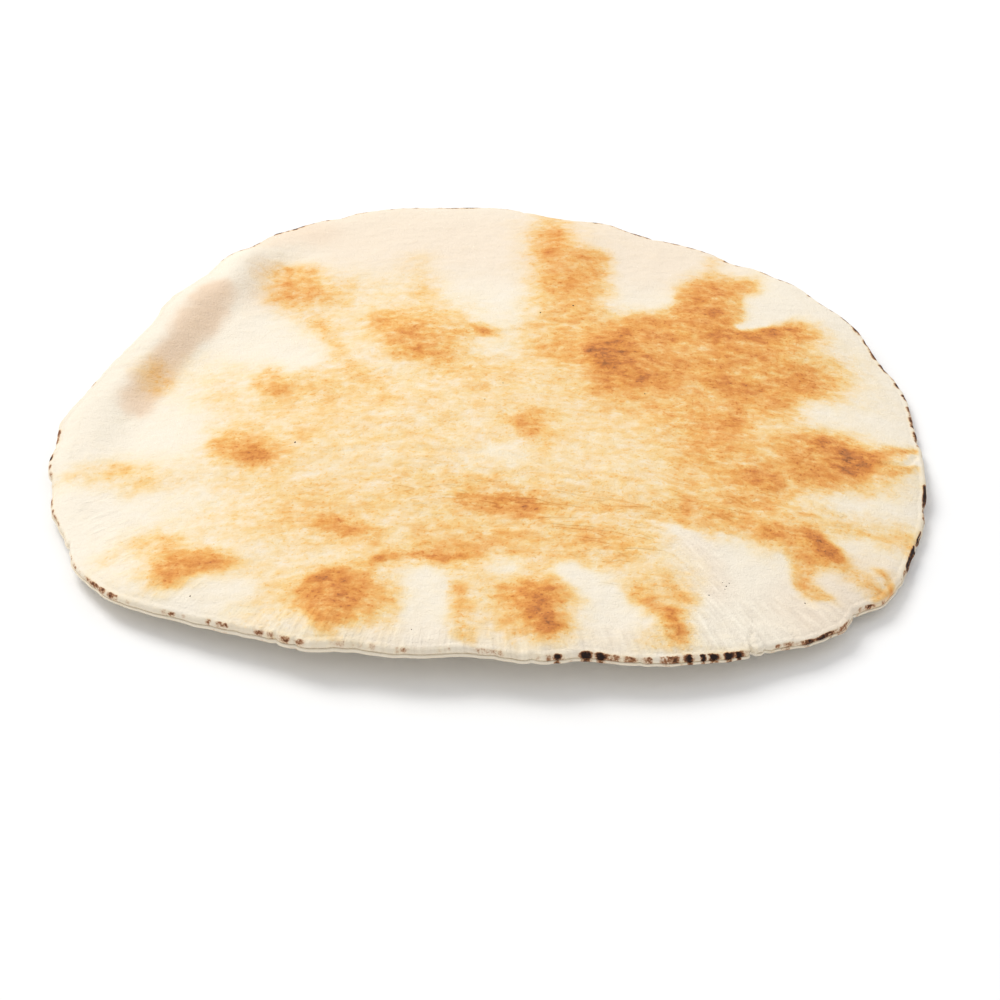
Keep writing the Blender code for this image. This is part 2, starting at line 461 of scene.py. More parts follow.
# %% Furrows
# half width and depth in mm, then the line's points in mm
FURROWS = (
    (1.1, 0.40, ((-50, -37), (-20, -39), (14, -45), (35, -57), (48, -67), (66, -73), (84, -75))),
    (0.9, 0.25, ((-30, -46), (8, -52), (30, -64), (46, -74), (62, -80))),
    (0.9, 0.22, ((20, -41), (44, -50), (62, -62), (88, -66), (104, -72))),
    (0.8, 0.20, ((-17, -88), (8, -92), (30, -93), (50, -97))),
    (0.8, 0.22, ((-44, -68), (-20, -72), (-4, -78), (20, -80))),
    (0.9, 0.25, ((60, -36), (84, -40), (104, -38))),
    (0.7, 0.45, ((79.5, -124), (80, -133))),
    (0.8, 0.30, ((86, -120), (92, -128))),
    (0.9, 0.45, ((127, -34), (134, -30), (139, -22))),
)
FURROW_WANDER = (9.0, 1.6, 11.0)  # size and reach of the noise in mm, and its seed
BANK = 0.45  # a furrow's banks, as a share of its depth
BANK_AWAY = 2.2  # and how many half widths away they are


def smooth(value):
    """Rise gently from 0 to 1 while value does."""
    t = np.clip(value, 0.0, 1.0)
    return t * t * (3.0 - 2.0 * t)


def from_line(x, y, points):
    """How far places are from a line through points, or from a single point."""
    nearest = np.full(x.shape, np.inf)
    for (ax, ay), (bx, by) in zip(points, points[1:] or points):
        run_x, run_y = bx - ax, by - ay
        length = max(run_x ** 2 + run_y ** 2, 1e-9)
        share = np.clip(((x - ax) * run_x + (y - ay) * run_y) / length, 0.0, 1.0)
        nearest = np.minimum(nearest, np.hypot(x - ax - share * run_x, y - ay - share * run_y))
    return nearest


def wander(x, y, size, reach, seed):
    """Shift places by smooth noise, so that a drawn shape gets a natural edge."""
    shift = [noise.noise_vector((a / size, b / size, seed))[:2] for a, b in zip(x, y)]
    shift = np.array(shift) * 2.0 * reach
    return x + shift[:, 0], y + shift[:, 1]


def press_furrows(piece):
    where = places(piece)
    x, y = wander(where[:, 0] / MM, where[:, 1] / MM, *FURROW_WANDER)
    for half_width, depth, points in FURROWS:
        across = from_line(x, y, points) / half_width
        banks = BANK * np.exp(-(across - BANK_AWAY) ** 2)
        where[:, 2] -= depth * MM * (np.exp(-across ** 2) - banks)
    put(piece, where)


# %% Swells, dimples, grain and wrinkles
# name, size and height in mm, and how far they are drawn out from left to right
RUFFLES = (
    ("swells", 34.0, 0.55, 1.0), ("dimples", 11.0, 0.32, 1.0),
    ("grain", 3.6, 0.13, 1.0), ("wrinkles", 2.6, 0.16, 5.0),
)
SKIN_FADE = 7.0 * MM  # how far in from the rim they have their full height


def ruffle(piece, name, size, height, drawn_out):
    """Move a piece's surface up and down by clouds of one size."""
    texture = bpy.data.textures.new(name, "CLOUDS")
    texture.noise_scale = 1.0
    texture.noise_depth = 2
    guide_rod = bpy.data.objects.new(name, None)
    guide_rod.scale = (size * drawn_out, size, size * drawn_out)
    scene.collection.objects.link(guide_rod)
    bpy.context.view_layer.update()
    finish_modifier(
        piece, "DISPLACE", texture=texture, texture_coords="OBJECT",
        texture_coords_object=guide_rod, direction="Z", strength=2.0 * height,
        mid_level=0.5, vertex_group="skin",
    )
    bpy.data.objects.remove(guide_rod)
    bpy.data.textures.remove(texture)


def ruffle_all(piece, degrees):
    """Give the skin all its unevenness, fading towards the rim."""
    inset = look_up(RIM_RADIUS, degrees) - np.hypot(*places(piece)[:, :2].T)
    weigh(piece, "skin", smooth(inset / SKIN_FADE))
    for name, size, height, drawn_out in RUFFLES:
        ruffle(piece, name, size * MM, height * MM, drawn_out)


press_furrows(top)
ruffle_all(top, top_degrees)
print("top crust now", (places(top)[:, 2].max() / MM).round(1), "mm high")

# %% [markdown]
# ## Closing a crust from inside
#
# A crust is a closed body, so the side that faces the pocket needs a skin
# too. Nobody sees it, so it is coarse: a second disc, laid half way between
# the two outer skins, is bridged to the last row of the rim. The two inner
# skins keep a little air between them.

# %% Close a crust
COVER_ROUND = 96
COVER_REACH = 11.0 * MM  # how far in from the edge the cover's disc ends
COVER_GAP = 0.15 * MM


def height_at(piece, x, y, side=1.0):
    """The height of a piece at a place of the plan, from above, or from below if side is -1."""
    return piece.ray_cast(Vector((x, y, side)), Vector((0.0, 0.0, -side)))[1].z


def close(piece, row, gap):
    """Give a crust its hidden inner skin."""
    before = len(piece.data.vertices)
    choose(piece, np.zeros(before, bool))
    edit(piece)
    bpy.ops.mesh.primitive_circle_add(vertices=COVER_ROUND, radius=1.0)
    bpy.ops.mesh.fill_grid(span=COVER_ROUND // 4, offset=0)
    bpy.ops.object.mode_set(mode="OBJECT")
    where = places(piece)
    cover = np.arange(len(where)) >= before
    reach = np.hypot(where[:, 0], where[:, 1])
    edge = cover & (reach > NEARLY_ONE)
    for index in np.flatnonzero(cover):
        x, y, z = where[index]
        direction = np.degrees(np.arctan2(y, x))
        out = look_up(RIM_RADIUS, direction) - COVER_REACH
        where[index, :2] = x * out, y * out
        heights = [height_at(guide, x * out, y * out, side) for side in (1.0, -1.0)]
        where[index, 2] = sum(heights) / 2.0 + gap
    put(piece, where)
    last = np.zeros(len(where), bool)
    last[:before] = row == row.max()
    choose(piece, last | edge)
    edit(piece)
    bpy.ops.mesh.bridge_edge_loops()
    bpy.ops.mesh.select_all(action="SELECT")
    bpy.ops.mesh.normals_make_consistent(inside=False)
    bpy.ops.object.mode_set(mode="OBJECT")
    only(piece)
    bpy.ops.object.shade_smooth()
    return before


top_outer = close(top, top_row, COVER_GAP)
print("top crust closed:", len(top.data.polygons), "faces")

# %% [markdown]
# ## A flat map of each crust
#
# Each crust gets a map of its own, so that its finish can be baked to a
# picture. It is the plan itself: a disc that fills the square, with the rows
# of the rim's side outside it, a little wider than they are, so that the
# char gets enough of the picture. The hidden skin is a small disc in a
# corner.

# %% Flat map
MAP_RADIUS = 0.452
MAP_ROW = 0.0028  # least width of a row in the map
COVER_MAP = (0.045, 0.035)  # middle and radius of the hidden skin's disc


def flatten(piece, rows, degrees, row, reach, outer):
    """Make the map named OFBake, the only one of a crust."""
    mean = RIM_RADIUS.mean()
    insets = [RIM_BAND] + [inset for inset, rise in rows]
    at = [MAP_RADIUS * (1.0 - RIM_BAND / mean)]
    for before, after in zip(insets, insets[1:]):
        at.append(at[-1] + max(MAP_RADIUS * (before - after) / mean, MAP_ROW))
    far = np.array(at)[row] * np.where(row == 0, reach, 1.0)
    turn = np.radians(degrees)
    flat = np.column_stack([0.5 + far * np.cos(turn), 0.5 + far * np.sin(turn)])

    mesh = piece.data
    corner = np.empty(len(mesh.loops), int)
    mesh.loops.foreach_get("vertex_index", corner)
    face = np.repeat(np.arange(len(mesh.polygons)), [p.loop_total for p in mesh.polygons])
    hidden_face = np.zeros(len(mesh.polygons), bool)
    np.logical_or.at(hidden_face, face, corner >= outer)
    hidden = hidden_face[face]
    where = places(piece)[:, :2] / (2.0 * mean)
    middle_of_cover, cover_radius = COVER_MAP
    uv = middle_of_cover + 2.0 * cover_radius * where[corner]
    uv[~hidden] = flat[corner[~hidden]]
    for layer in list(mesh.uv_layers):
        mesh.uv_layers.remove(layer)
    layer = mesh.uv_layers.new(name="OFBake")
    layer.data.foreach_set("uv", uv.ravel())
    mesh.uv_layers.active = layer
    print(piece.name, "map reaches", round(float(max(at)), 3), "of 0.5")


flatten(top, TOP_ROWS, top_degrees, top_row, top_reach, top_outer)

# %% [markdown]
# ## Where the oven browned it
#
# Toast is painted on as one number for each vertex, from 0, raw flour, to 1,
# nearly burnt. Each patch is a short line with a half width: a single point
# is a round blister, two points a long one. Patches add up as stains do, each
# taking its share of what is still pale, and floury patches take toast away
# again. Before that every place is shifted by smooth noise, so that no edge
# is as clean as it was drawn.

# %% Toasted and floury patches
# half width in mm, strength in percent, firmness of the edge, points in mm
TOASTED = (
    # broad golden glow
    (38, 24, 3, (-45, -20), (85, -22)), (24, 24, 3, (36, 26), (100, 26)),
    (17, 22, 3, (-50, -70), (85, -70)), (22, 19, 3, (-46, 60), (-22, 52)),
    (15, 11, 3, (-88, -4), (-60, 4)), (9, 8, 3, (-96, 24), (-90, 20)),
    (18, 14, 3, (-88, -46), (-74, -62)), (13, 16, 3, (24, 114), (28, 60)),
    (20, 13, 3, (-96, -84), (-64, -96)), (18, 15, 3, (-62, -112), (-36, -112)),
    (16, 20, 3, (-8, -110), (18, -114)), (14, 11, 3, (122, -34), (126, -72)),
    # field at the far right, with its core
    (16, 32, 4, (50, 22), (98, 20)), (8, 34, 4, (48, 43), (80, 45)), (9, 15, 3, (38, -4), (92, -6)),
    (9, 12, 2, (116, 14), (119, 32)), (8, 28, 2, (42, 28), (49, 10)), (5, 34, 2, (37, 25), (42, 8)),
    (3.5, 22, 2, (54, 22), (53, 10)), (3, 20, 2, (45, 38)), (4, 12, 2, (60, 48), (64, 34)),
    # under the floury wedge at the far right
    (8, 40, 3, (95, 41), (110, 51)), (3, 30, 2, (96, 46), (104, 52)),
    (2.2, 36, 2, (90, 43), (104, 51), (110, 56)), (3, 35, 2, (79, 41), (89, 42)),
    # scorched dots by the field
    (3.5, 42, 2, (81, 5), (88, 5)), (3, 26, 2, (97, 4)), (5, 24, 2, (106, 12), (106, 19)),
    (4, 34, 2, (82, -6), (83, -16)),
    # arm behind the field
    (10.5, 44, 3, (73, 58), (81, 76)), (5.5, 20, 2, (79, 76), (81, 58)),
    (4.5, 30, 2, (77, 56), (83, 52)), (3.6, 18, 2, (79, 88), (83, 100)),
    (3.4, 10, 2, (91, 82), (96, 91)), (9, 24, 2, (60, 54), (68, 64)), (6.5, 26, 2, (88, 62), (93, 77)),
    # strip from the back rim
    (6.6, 26, 3, (23, 128), (23, 104)), (12.5, 30, 4, (22, 92), (30, 78)),
    (6, 26, 3, (38, 95), (42, 82)), (3, 18, 2, (24, 104), (25, 115)), (5, 20, 2, (14, 94), (16, 74)),
    (15, 26, 3, (24, 62), (26, 36)), (3.4, 12, 2, (40, 71)),
    # back left
    (11, 26, 3, (-31, 44), (-22, 34)), (9, 11, 2, (-34, 27), (-18, 21)),
    (6, 26, 2, (-28, 38), (-25, 27)), (6, 12, 2, (-35, 50), (-33, 44)),
    (7.5, 12, 3, (-20, 60), (-13, 50)), (4, 12, 2, (-22, 23), (-13, 26)),
    (4.4, 26, 3, (-9, 38), (-2, 37)), (2.5, 32, 2, (-3, 38), (1, 36)),
    # glow in the centre; smoke at the back left
    (8, 18, 2, (-14, 16), (3, 12)), (6, 16, 2, (-24, 92), (-22, 72)),
    # beside the lip's ridge
    (7.5, 28, 3, (-73, 85), (-71, 68)), (3, 16, 2, (-73, 88), (-72, 70)),
    (4.6, 30, 2, (-63, 86), (-63, 70)), (5, 14, 2, (-72, 62), (-64, 62)),
    (6, 14, 2, (-54, 76), (-55, 64)),
    # trail from the lip inward
    (4, 20, 2, (-57, 46), (-51, 32), (-46, 16)), (5, 10, 2, (-66, 54), (-58, 48)),
    (4, 22, 2, (-42, 8), (-37, 6)),
    # left round
    (5, 28, 3, (-73, 16), (-71, 6)), (6, 4, 2, (-62, 12), (-52, 4)), (7, 8, 2, (-92, 14), (-90, 6)),
    # left blister
    (8, 25, 3, (-82, -28), (-72, -36)), (2.6, 52, 2, (-77, -33), (-74, -39)),
    (3.6, 14, 2, (-86, -20), (-82, -28)),
    # left streak; left dot
    (3, 12, 2, (-62, -22), (-58, -30)), (2.5, 22, 2, (-92, -16)),
    # left edge
    (6.5, 24, 2, (-118, -35), (-110, -43)), (5, 18, 2, (-134, -38), (-121, -38)),
    # on the lip
    (5, 30, 2, (-112, 21), (-109, 13)),
    # near left
    (8, 30, 3, (-93, -93), (-86, -91)), (5.5, 28, 2, (-94, -95), (-88, -93)),
    (4.2, 20, 2, (-104, -75), (-100, -78)), (3.6, 14, 2, (-119, -86), (-111, -78)),
    (7, 12, 2, (-100, -84), (-96, -90)), (3, 24, 2, (-97, -100), (-94, -104)),
    # middle blister
    (6, 20, 2, (-47, -78), (-38, -83)), (3.3, 40, 2, (-48, -75), (-43, -77)), (3.2, 18, 2, (-36, -84)),
    # front left
    (8.5, 42, 3, (-47, -110), (-45, -117)), (5.5, 28, 2, (-50, -108), (-44, -115)),
    (3.5, 26, 2, (-52, -104), (-45, -102), (-36, -102)),
    (3.4, 14, 2, (-55, -117), (-48, -121), (-39, -122)), (7, 16, 3, (-36, -107), (-34, -116)),
    (5.5, 10, 3, (-31, -108), (-30, -120)),
    # front flame
    (4, 28, 3, (-8, -110), (-7, -130)),
    # front middle
    (9, 40, 3, (13.5, -114), (14, -122)), (5.6, 52, 2, (14, -113), (18, -125)),
    # front streak
    (4.4, 38, 2, (44, -112), (52, -120), (56, -131)), (2.4, 34, 2, (51, -118), (56, -128)),
    (8, 14, 2, (44, -100), (52, -106)), (2.8, 22, 2, (60, -111), (64, -113)),
    (7, 20, 2, (58, -108), (61, -126)),
    # rim glow
    (3.5, 30, 2, (70, -133), (74, -128)), (4, 18, 2, (37, -131), (47, -132)),
    # middle patch
    (7, 26, 3, (-2, -67), (12, -69)), (4.5, 30, 2, (2, -66), (13, -69)),
    # middle
    (4, 10, 2, (-24, -51), (4, -53)),
    # small blister
    (5.5, 26, 2, (13, -20), (14, -30)), (3.4, 20, 2, (13, -22), (14, -27)),
    # thin line
    (1.8, 36, 2, (-34, -92), (-20, -91), (-6, -94)), (2.4, 20, 2, (-40, -95), (-28, -94)),
    # band
    (10, 27, 3, (-16, -89), (36, -89)), (6, 10, 2, (-34, -93), (-4, -93)), (1.5, 40, 2, (7, -93)),
    (2.2, 24, 2, (23, -92)), (7, 13, 2, (46, -86), (52, -99)),
    # along the crease; the right round's core
    (3, 10, 2, (24, -70), (46, -73), (68, -78)), (5, 56, 2, (111, -24), (117, -34)),
    # right round
    (11, 42, 3, (105, -28), (117, -31)), (6, 38, 2, (88, -47), (106, -44)),
    (4.5, 14, 2, (122, -27), (128, -30)),
    # right streak
    (2.2, 42, 2, (125, -28), (132, -23), (139, -17)), (1.6, 40, 2, (131, -36), (139, -29)),
    # right middle
    (13, 25, 3, (66, -20), (82, -48)), (4, 18, 2, (60, -44), (63, -52)),
    (6, 17, 2, (82, -65), (102, -67)), (6, 10, 2, (64, -18), (76, -16)),
    # near right
    (7, 24, 3, (62, -70), (84, -80)), (6.2, 34, 3, (90, -80), (103, -83)),
    (4.2, 54, 2, (100, -79), (105, -84)), (4.8, 44, 3, (97, -91), (99, -107)),
    (3.8, 34, 2, (107, -89), (118, -100)), (5, 24, 2, (112, -71), (132, -70)),
    (2, 45, 2, (121, -92), (123, -97)),
    # two small spots
    (2.4, 30, 2, (-3, 1)), (3, 20, 2, (-34, -7)),
)
FLOURED = (
    # wedge at the far right
    (7.5, 92, 5, (99, 67), (111, 79)), (5, 92, 4, (95, 57), (101, 62)),
    (2.6, 92, 4, (87, 49), (94, 54)),
    # beside the strip; back middle; left of the field
    (9, 90, 4, (56, 100), (56, 68)), (15, 90, 3, (-4, 98), (2, 74)), (5, 50, 2, (4, 66), (4, 50)),
    # near wedge
    (3.4, 90, 3, (59, -81), (65, -88)), (8, 92, 4, (72, -92), (80, -106)),
    (13, 95, 5, (78, -112), (90, -120)), (8, 95, 4, (70, -126), (100, -116)),
    # by the flame
    (5.4, 92, 4, (25, -100), (32, -111)), (6, 90, 4, (36, -114), (38, -132)),
    # front left
    (7, 90, 4, (-19, -103), (-18, -132)), (7, 80, 3, (-92, -112), (-76, -106)),
    # right
    (4.6, 70, 3, (113, -56), (134, -54)), (4, 60, 3, (113, -80), (118, -76)),
    # near right fork; lip foot; far right band
    (4, 65, 3, (104, -99), (110, -105)), (6, 70, 3, (-82, 46), (-70, 33), (-62, 24)),
    (7, 75, 3, (112, -4), (132, -4)),
    # left skin
    (10, 70, 3, (-134, -12), (-100, -14)), (9, 40, 3, (-128, -62), (-98, -60)),
    # middle; front
    (5, 60, 2, (2, -42), (8, -44)), (4, 70, 2, (4, -98)),
)
# where the skin is dull and a little brown, and where painted shade darkens slopes and grooves that
# face away from the lamp
DUN_AND_SHADE_PATCHES = (
    # slope of the lip (painted shade); foot of the lip; back; ridge (painted shade on its flank); back
    # left corner; near wedge (painted shade in its groove)
    (6.2, 100, 4, (-96, 66), (-99, 53), (-105, 38), (-111, 20), (-117, 4)),
    (9, 30, 3, (-80, 66), (-64, 62)), (30, 38, 4, (-40, 110), (60, 100)),
    (6, 45, 3, (-78, 88), (-75, 66)), (9, 45, 3, (-84, 108), (-66, 116)),
    (4.5, 26, 2, (63, -88), (67, -98), (70, -110)),
    # near right; front
    (14, 35, 3, (100, -112), (116, -98)), (8, 12, 3, (40, -134), (-30, -130)),
)
# where the skin has fine creases from left to right, and from the rim inward; both are drawn in the
# colour as painted shade as well as in the relief, the gathers by the rim also as painted light
CREASED = (
    # across the front
    (13, 90, 4, (-20, -58), (20, -70), (46, -82), (40, -100)),
    # right
    (12, 70, 4, (60, -66), (104, -64)), (18, 40, 3, (70, -30), (96, -30)),
    # left; far right
    (16, 35, 3, (-84, -36), (-60, -70)), (18, 35, 3, (50, 20), (92, 20)),
)
GATHERED = (
    # near wedge; near rim; left rim
    (8, 80, 3, (64, -90), (68, -120), (96, -116)),
    (7, 80, 4, (-70, -121), (-20, -134), (50, -134), (84, -124), (104, -106)),
    (6, 60, 4, (-124, -50), (-112, -84), (-90, -106)),
)
HALVED = 0.7  # leaves half of a patch's strength at its half width


def stain(patches, x, y):
    """How strongly patches cover each place, from 0 to 1."""
    bare = np.ones(x.shape)
    for half_width, strength, firmness, *points in patches:
        out = from_line(x, y, points) / half_width
        bare *= 1.0 - strength / 100.0 * np.exp(-HALVED * out ** firmness)
    return 1.0 - bare


def paint(piece, name, values):
    """Keep one number for each vertex under a name that a material can read."""
    layer = piece.data.attributes.new(name=name, type="FLOAT", domain="POINT")
    layer.data.foreach_set("value", np.ascontiguousarray(values, dtype=np.float32))


# %% [markdown]
# The rim burns in its own way: each little tooth of the crimp can char at its
# tip. So the char is told by direction: how strong it is along each stretch
# of the rim, with noise as fine as the teeth to break it into ticks, and a
# few single scorches that are black.

# %% Char at the rim
# from and to in degrees, strength, width in mm, and the side's share of it
CHARRED = (
    (-34, -24, 0.95, 0.4, 1.0), (-24, -20, 0.6, 0.5, 0.9), (-20, -14, 0.8, 0.6, 0.9),
    (-37, -34, 0.4, 0.5, 0.8), (-43, -37, 0.5, 0.4, 0.8), (-58, -43, 0.46, 0.35, 0.9),
    (-70, -58, 0.42, 0.5, 0.9), (-84, -70, 0.32, 0.5, 0.9), (-96, -84, 0.2, 0.5, 0.6),
    (-112, -96, 0.18, 0.6, 0.6), (-128, -112, 0.3, 0.5, 0.6), (-151, -128, 0.32, 0.4, 0.6),
    (-180, -151, 0.3, 0.7, 0.6), (172, 180, 0.26, 0.7, 0.4), (137, 172, 0.08, 0.9, 0.4),
    (100, 137, 0.62, 1.2, 0.4), (60, 100, 0.62, 1.2, 0.4), (46, 60, 0.66, 1.3, 0.4),
    (-5, 46, 0.66, 1.0, 0.6),
)
# direction and half width in degrees, width in mm
SCORCHES = (
    (-81.5, 0.4, 0.4), (-78, 0.65, 0.6), (-76.3, 0.5, 0.55), (-66.5, 0.3, 0.55), (-65, 0.25, 0.3),
    (-63.8, 0.5, 0.5), (-62.2, 0.4, 0.45), (-61, 0.3, 0.3), (-30.5, 2.0, 0.4), (-26, 1.2, 0.35),
    (-17.3, 1.6, 0.55), (-170, 0.4, 0.4), (53, 0.7, 1.2), (49.5, 0.6, 1.2),
)
SCORCHED = 1.15  # how burnt a scorch is
CHAR_FADE = 2.0  # degrees in which a stretch fades into the next
CHAR_START = 0.2 * MM  # how far in the char is at its full strength
TICK_LEVEL = 0.60  # what the ticks rise above and sink below
# size, waves round the rim, and what is added to the seed
TICKS = ((0.65, 230, 0.0), (0.45, 75, 5.0), (0.55, 400, 6.0))
EDGE_ROW = len(LAID_INSETS + ROUND_INSETS)  # the edge itself; later rows are the side


def char_at(degrees, row, inset, seed):
    """How burnt the rim is, from 0 to 1, by direction and by how far in."""
    along = np.zeros(degrees.shape)
    width = np.ones(degrees.shape)
    share = np.full(degrees.shape, 0.4)
    for start, end, strength, wide, beside in CHARRED:
        off = np.abs(away(degrees, (start + end) / 2.0)) - (end - start) / 2.0
        along = np.maximum(along, strength * smooth(0.5 - off / CHAR_FADE))
        width = np.where(off < 0.0, wide, width)
        share = np.where(off < 0.0, beside, share)
    along *= np.clip(ripples(degrees, TICKS, seed, TICK_LEVEL), 0.10, 1.2)
    for direction, half_width, wide in SCORCHES:
        blob = SCORCHED * np.exp(-(away(degrees, direction) / half_width) ** 2)
        width = np.where(blob > along, wide, width)
        along = np.maximum(along, blob)
    reach = width * (1.0 + 0.35 * ripple(degrees, 150, seed + 9.0)) * MM
    burn = along * np.exp(-(np.maximum(inset - CHAR_START, 0.0) / reach) ** 2)
    return np.where(row > EDGE_ROW, share * burn, burn)


# size and reach in mm of the noise that shifts a patch's edge, and what is added to the seed
PATCH_WANDERS = ((13.0, 1.5, 0.0), (4.0, 0.8, 4.0))
SIDE_INSET = 0.9 * MM  # where the bare side of the rim begins to show
SIDE_FADE = 0.7 * MM


def paint_crust(piece, outer, inset, row, degrees, seed, char_share, lists):
    """Paint a crust's toast, its dun skin and painted shade, its creased skin, its char and the side of
    its rim.
    """
    toasted, flour, dun_and_shade_lists, creased, gathered = lists
    where = places(piece) / MM
    x, y = where[:, 0], where[:, 1]
    for size, reach, more in PATCH_WANDERS:
        x, y = wander(x, y, size, reach, seed + more)
    toast = stain(toasted, x, y) * (1.0 - stain(flour, x, y))
    hidden = np.zeros(len(where))
    burn = hidden.copy()
    side = hidden.copy()
    burn[:outer] = char_share * char_at(degrees, row, inset, seed)
    side[:outer] = smooth((SIDE_INSET - inset) / SIDE_FADE) * (row > 0)
    side[outer:] = 1.0
    toast[:outer] += 0.5 * burn[:outer]
    paint(piece, "toast", np.clip(toast, 0.0, 1.0))
    paint(piece, "char", burn)
    paint(piece, "side", side)
    for name, patches in (("dun", dun_and_shade_lists), ("creased", creased), ("gathered", gathered)):
        paint(piece, name, stain(patches, x, y))
    print(piece.name, "toast from", toast.min().round(2), "to", toast.max().round(2))


paint_crust(top, top_outer, top_inset, top_row, top_degrees, 2.0, 1.0,
            (TOASTED, FLOURED, DUN_AND_SHADE_PATCHES, CREASED, GATHERED))

# %% [markdown]
# ## The bottom crust
#
# The bottom crust is made with the same steps, laid on the underside of the
# guide. Its edge stands a little proud of the top crust's, as the crimp
# leaves it. It lay on the hot floor of the oven, so it has its own round
# scorches, smaller and more even than the top's.

# %% Bottom crust
UNDER_TOASTED = (
    # left
    (11, 55, 3, (-84, 20), (-70, 34)), (5, 35, 2, (-80, 26)),
    # front left
    (9, 50, 3, (-58, -70), (-44, -78)),
    # front
    (12, 50, 3, (2, -96), (18, -92)), (6, 35, 2, (8, -95)),
    # middle
    (10, 45, 3, (-16, -18), (4, -8)), (8, 45, 2, (48, -30), (58, -22)),
    # right
    (13, 55, 3, (98, 14), (106, 2)), (6, 35, 2, (102, 8)),
    # back; back right; back left; near right; glow
    (12, 50, 3, (-8, 90), (14, 96)), (9, 45, 2, (58, 66), (70, 58)), (9, 45, 2, (-58, 82)),
    (8, 40, 2, (84, -84)), (60, 22, 3, (-30, 10), (40, 6)),
    # spots
    (3, 45, 2, (-30, 52)), (3.5, 45, 2, (24, 34)), (3, 45, 2, (-104, -22)), (3.5, 40, 2, (40, -64)),
    (3, 40, 2, (-24, -52)),
)
UNDER_FLOURED = (
    # left; right; back
    (10, 80, 3, (-60, -6), (-40, -34)), (12, 80, 3, (70, 30), (30, 12)),
    (10, 80, 3, (-40, 56), (-20, 70)),
)
UNDER_CHAR = 0.45  # the bottom crust's share of the char

bottom = make_net("bottom_crust", len(BOTTOM_ROWS))
bottom_degrees, bottom_row, bottom_inset, bottom_reach = lay(bottom, BOTTOM_ROWS, False, 1.0)
bottom_outer = close(bottom, bottom_row, -COVER_GAP)
flatten(bottom, BOTTOM_ROWS, bottom_degrees, bottom_row, bottom_reach, bottom_outer)
paint_crust(bottom, bottom_outer, bottom_inset, bottom_row, bottom_degrees, 6.0, UNDER_CHAR,
            (UNDER_TOASTED, UNDER_FLOURED, (), (), ()))

# %% [markdown]
# ## Shader arithmetic
#
# A material is mostly arithmetic on patterns. The class below wraps one
# socket, so that `1 - mask` or `toast + 0.2 * grain` adds the Math nodes it
# needs. Any other node comes from the one method `node`: it takes the node's
# type, its settings, and the values or links of its sockets. Two functions
# begin and end a material.

# %% Shader helper
class Signal:
    """One output socket of a material, with Python's operators."""

    def __init__(self, tree, socket=None):
        self.tree = tree
        self.socket = socket

    def node(self, kind, settings, inputs, output=0):
        made = self.tree.nodes.new(kind)
        for name, value in settings.items():
            if name == "stops":
                self.set_stops(made.color_ramp, value)
            else:
                setattr(made, name, value)
        for name, value in inputs.items():
            if isinstance(value, Signal):
                self.tree.links.new(value.socket, made.inputs[name])
            else:
                made.inputs[name].default_value = value
        return Signal(self.tree, made.outputs[output])

    @staticmethod
    def set_stops(ramp, stops):
        while len(ramp.elements) < len(stops):
            ramp.elements.new(0.5)
        for element, (position, colour) in zip(ramp.elements, stops):
            element.position = position
            element.color = (*colour, 1.0)

    def maths(self, operation, first, second):
        return self.node("ShaderNodeMath", {"operation": operation}, {0: first, 1: second})

    def __add__(self, other):
        return self.maths("ADD", self, other)

    __radd__ = __add__

    def __sub__(self, other):
        return self.maths("SUBTRACT", self, other)

    def __rsub__(self, other):
        return self.maths("SUBTRACT", other, self)

    def __mul__(self, other):
        return self.maths("MULTIPLY", self, other)

    __rmul__ = __mul__

    def between(self, start, end):
        """0 up to start, 1 from end, and a smooth rise between them."""
        settings = {"interpolation_type": "SMOOTHSTEP"}
        inputs = {"Value": self, "From Min": start, "From Max": end}
        return self.node("ShaderNodeMapRange", settings, inputs)

    def times(self, first, second):
        """A colour, multiplied by a second one where this is 1; below 0 it is lightened."""
        settings = {"data_type": "RGBA", "blend_type": "MULTIPLY", "clamp_factor": False}
        return self.node("ShaderNodeMix", settings, {0: self, 6: first, 7: second}, output=2)

    def mix(self, first, second):
        """From one colour to another as this goes from 0 to 1."""
        settings = {"data_type": "RGBA"}
        return self.node("ShaderNodeMix", settings, {0: self, 6: first, 7: second}, output=2)


def begin_material(name):
    """A new material, and a signal that makes its first nodes."""
    material = bpy.data.materials.new(name)
    material.use_nodes = True
    material.node_tree.nodes.clear()
    return material, Signal(material.node_tree)


def end_material(material, inputs):
    """Give a material its one shader, with these values and signals."""
    tree = material.node_tree
    shader = Signal(tree).node("ShaderNodeBsdfPrincipled", {}, inputs)
    output = tree.nodes.new("ShaderNodeOutputMaterial")
    tree.links.new(shader.socket, output.inputs["Surface"])
    return material


# %% [markdown]
# ## The crust's finish
#
# One material serves both crusts. The painted toast is the slow part of the
# pattern. Blotches, mottle, streaks, dots and fold lines are added to it before
# the colours are looked up, so the same noise that barely shows on floury skin
# breaks golden skin into brown and cream, as on the real thing. Then grain
# browns the toast, painted shade darkens the creases, painted shade and painted
# light run along the gathers by the rim, some of the toast turns more golden,
# and the char is laid over the rim. The surface is dry and dull, with fine pores.

# %% Crust material
# Where on the toast scale each colour is reached. These are what the colours
# are under the lamp here.
TOAST_COLOURS = (
    (0.00, (0.94, 0.855, 0.715)), (0.10, (0.94, 0.815, 0.61)),
    (0.20, (0.935, 0.74, 0.46)), (0.30, (0.918, 0.645, 0.302)),
    (0.42, (0.885, 0.51, 0.172)), (0.54, (0.835, 0.395, 0.106)),
    (0.66, (0.75, 0.30, 0.07)), (0.78, (0.63, 0.222, 0.054)),
    (0.90, (0.465, 0.172, 0.052)), (1.00, (0.33, 0.12, 0.036)),
)
